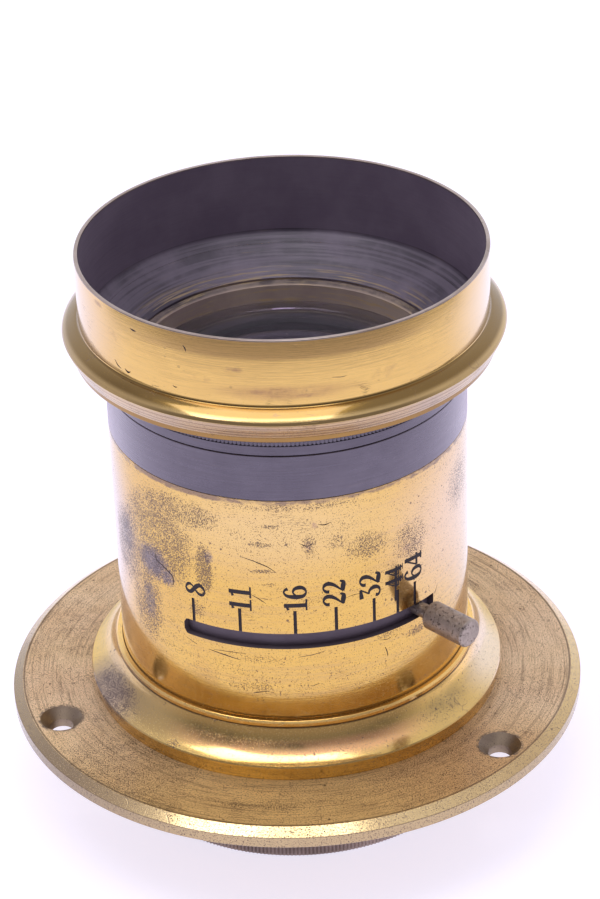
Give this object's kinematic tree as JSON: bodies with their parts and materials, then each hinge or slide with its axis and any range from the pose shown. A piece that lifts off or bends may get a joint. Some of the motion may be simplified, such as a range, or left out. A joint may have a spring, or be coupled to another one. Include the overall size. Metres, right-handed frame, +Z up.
{
  "type": "brass portrait lens",
  "caption": "Brass portrait lens with deep front hood, black screw-in cells, side-lever iris with engraved stop scale, and a round wood-screw mounting flange.",
  "frame": {"origin": "on the optical axis at the lower face of the rear cell, which is what the lens stands on", "axes": "+Z up the optical axis towards the hood rim; the engraved stop scale faces -Y; +X to the right when facing the scale"},
  "size_m": [0.097, 0.097, 0.0984],
  "materials": {
    "hood_brass": "polished, warm, lightly scratched",
    "barrel_brass": "old gold lacquer, worn and freckled",
    "flange_brass": "dull, turned, pitted",
    "worn_ring": "black finish rubbed back to brass",
    "black_finish": "satin black",
    "leaf_steel": "blued, matt",
    "worn_metal": "worn and pitted",
    "glass": "polished"
  },
  "bodies": {
    "lens": {"lens_hood": "hood_brass", "front_cell": "black_finish", "front_retaining_ring": "worn_ring", "front_flint_element": "glass", "front_crown_element": "glass", "front_collar": "black_finish", "barrel_tube": "barrel_brass", "shoulder_ring": "hood_brass", "mounting_flange": "flange_brass", "iris_base_ring": "black_finish", "iris_cover_ring": "black_finish", "rear_cell": "black_finish", "rear_retaining_ring": "worn_ring", "rear_crown_element": "glass", "rear_flint_element": "glass"},
    "iris_ring": {"iris_drive_ring": "black_finish", "iris_lever": "worn_metal"},
    "leaf_01": {"iris_leaf_01": "leaf_steel"},
    "leaf_02": {"iris_leaf_02": "leaf_steel"},
    "leaf_03": {"iris_leaf_03": "leaf_steel"},
    "leaf_04": {"iris_leaf_04": "leaf_steel"},
    "leaf_05": {"iris_leaf_05": "leaf_steel"},
    "leaf_06": {"iris_leaf_06": "leaf_steel"},
    "leaf_07": {"iris_leaf_07": "leaf_steel"},
    "leaf_08": {"iris_leaf_08": "leaf_steel"},
    "leaf_09": {"iris_leaf_09": "leaf_steel"},
    "leaf_10": {"iris_leaf_10": "leaf_steel"},
    "leaf_11": {"iris_leaf_11": "leaf_steel"},
    "leaf_12": {"iris_leaf_12": "leaf_steel"},
    "leaf_13": {"iris_leaf_13": "leaf_steel"},
    "leaf_14": {"iris_leaf_14": "leaf_steel"},
    "leaf_15": {"iris_leaf_15": "leaf_steel"},
    "leaf_16": {"iris_leaf_16": "leaf_steel"}
  },
  "joints": [
    {"name": "iris_lever_turn", "type": "hinge", "parent": "lens", "child": "iris_ring", "pos_m": [0, 0, 0.04205], "axis": [0, 0, 1], "range_deg": [-78.4, 3.6]},
    {"name": "leaf_01_swing", "type": "hinge", "parent": "lens", "child": "leaf_01", "pos_m": [0.0272, 0, 0.03955], "axis": [0, 0, 1], "range_deg": [-37.7, 1.8]},
    {"name": "leaf_02_swing", "type": "hinge", "parent": "lens", "child": "leaf_02", "pos_m": [0.02513, 0.01041, 0.0394], "axis": [0, 0, 1], "range_deg": [-37.7, 1.8]},
    {"name": "leaf_03_swing", "type": "hinge", "parent": "lens", "child": "leaf_03", "pos_m": [0.01923, 0.01923, 0.03925], "axis": [0, 0, 1], "range_deg": [-37.7, 1.8]},
    {"name": "leaf_04_swing", "type": "hinge", "parent": "lens", "child": "leaf_04", "pos_m": [0.01041, 0.02513, 0.0391], "axis": [0, 0, 1], "range_deg": [-37.7, 1.8]},
    {"name": "leaf_05_swing", "type": "hinge", "parent": "lens", "child": "leaf_05", "pos_m": [0, 0.0272, 0.03895], "axis": [0, 0, 1], "range_deg": [-37.7, 1.8]},
    {"name": "leaf_06_swing", "type": "hinge", "parent": "lens", "child": "leaf_06", "pos_m": [-0.01041, 0.02513, 0.0388], "axis": [0, 0, 1], "range_deg": [-37.7, 1.8]},
    {"name": "leaf_07_swing", "type": "hinge", "parent": "lens", "child": "leaf_07", "pos_m": [-0.01923, 0.01923, 0.03865], "axis": [0, 0, 1], "range_deg": [-37.7, 1.8]},
    {"name": "leaf_08_swing", "type": "hinge", "parent": "lens", "child": "leaf_08", "pos_m": [-0.02513, 0.01041, 0.0385], "axis": [0, 0, 1], "range_deg": [-37.7, 1.8]},
    {"name": "leaf_09_swing", "type": "hinge", "parent": "lens", "child": "leaf_09", "pos_m": [-0.0272, 0, 0.03835], "axis": [0, 0, 1], "range_deg": [-37.7, 1.8]},
    {"name": "leaf_10_swing", "type": "hinge", "parent": "lens", "child": "leaf_10", "pos_m": [-0.02513, -0.01041, 0.0382], "axis": [0, 0, 1], "range_deg": [-37.7, 1.8]},
    {"name": "leaf_11_swing", "type": "hinge", "parent": "lens", "child": "leaf_11", "pos_m": [-0.01923, -0.01923, 0.03805], "axis": [0, 0, 1], "range_deg": [-37.7, 1.8]},
    {"name": "leaf_12_swing", "type": "hinge", "parent": "lens", "child": "leaf_12", "pos_m": [-0.01041, -0.02513, 0.0379], "axis": [0, 0, 1], "range_deg": [-37.7, 1.8]},
    {"name": "leaf_13_swing", "type": "hinge", "parent": "lens", "child": "leaf_13", "pos_m": [0, -0.0272, 0.03775], "axis": [0, 0, 1], "range_deg": [-37.7, 1.8]},
    {"name": "leaf_14_swing", "type": "hinge", "parent": "lens", "child": "leaf_14", "pos_m": [0.01041, -0.02513, 0.0376], "axis": [0, 0, 1], "range_deg": [-37.7, 1.8]},
    {"name": "leaf_15_swing", "type": "hinge", "parent": "lens", "child": "leaf_15", "pos_m": [0.01923, -0.01923, 0.03745], "axis": [0, 0, 1], "range_deg": [-37.7, 1.8]},
    {"name": "leaf_16_swing", "type": "hinge", "parent": "lens", "child": "leaf_16", "pos_m": [0.02513, -0.01041, 0.0373], "axis": [0, 0, 1], "range_deg": [-37.7, 1.8]}
  ],
  "couplings": [
    {"joint": "leaf_01_swing", "follows": "iris_lever_turn", "ratio": 0.48},
    {"joint": "leaf_02_swing", "follows": "iris_lever_turn", "ratio": 0.48},
    {"joint": "leaf_03_swing", "follows": "iris_lever_turn", "ratio": 0.48},
    {"joint": "leaf_04_swing", "follows": "iris_lever_turn", "ratio": 0.48},
    {"joint": "leaf_05_swing", "follows": "iris_lever_turn", "ratio": 0.48},
    {"joint": "leaf_06_swing", "follows": "iris_lever_turn", "ratio": 0.48},
    {"joint": "leaf_07_swing", "follows": "iris_lever_turn", "ratio": 0.48},
    {"joint": "leaf_08_swing", "follows": "iris_lever_turn", "ratio": 0.48},
    {"joint": "leaf_09_swing", "follows": "iris_lever_turn", "ratio": 0.48},
    {"joint": "leaf_10_swing", "follows": "iris_lever_turn", "ratio": 0.48},
    {"joint": "leaf_11_swing", "follows": "iris_lever_turn", "ratio": 0.48},
    {"joint": "leaf_12_swing", "follows": "iris_lever_turn", "ratio": 0.48},
    {"joint": "leaf_13_swing", "follows": "iris_lever_turn", "ratio": 0.48},
    {"joint": "leaf_14_swing", "follows": "iris_lever_turn", "ratio": 0.48},
    {"joint": "leaf_15_swing", "follows": "iris_lever_turn", "ratio": 0.48},
    {"joint": "leaf_16_swing", "follows": "iris_lever_turn", "ratio": 0.48}
  ]
}
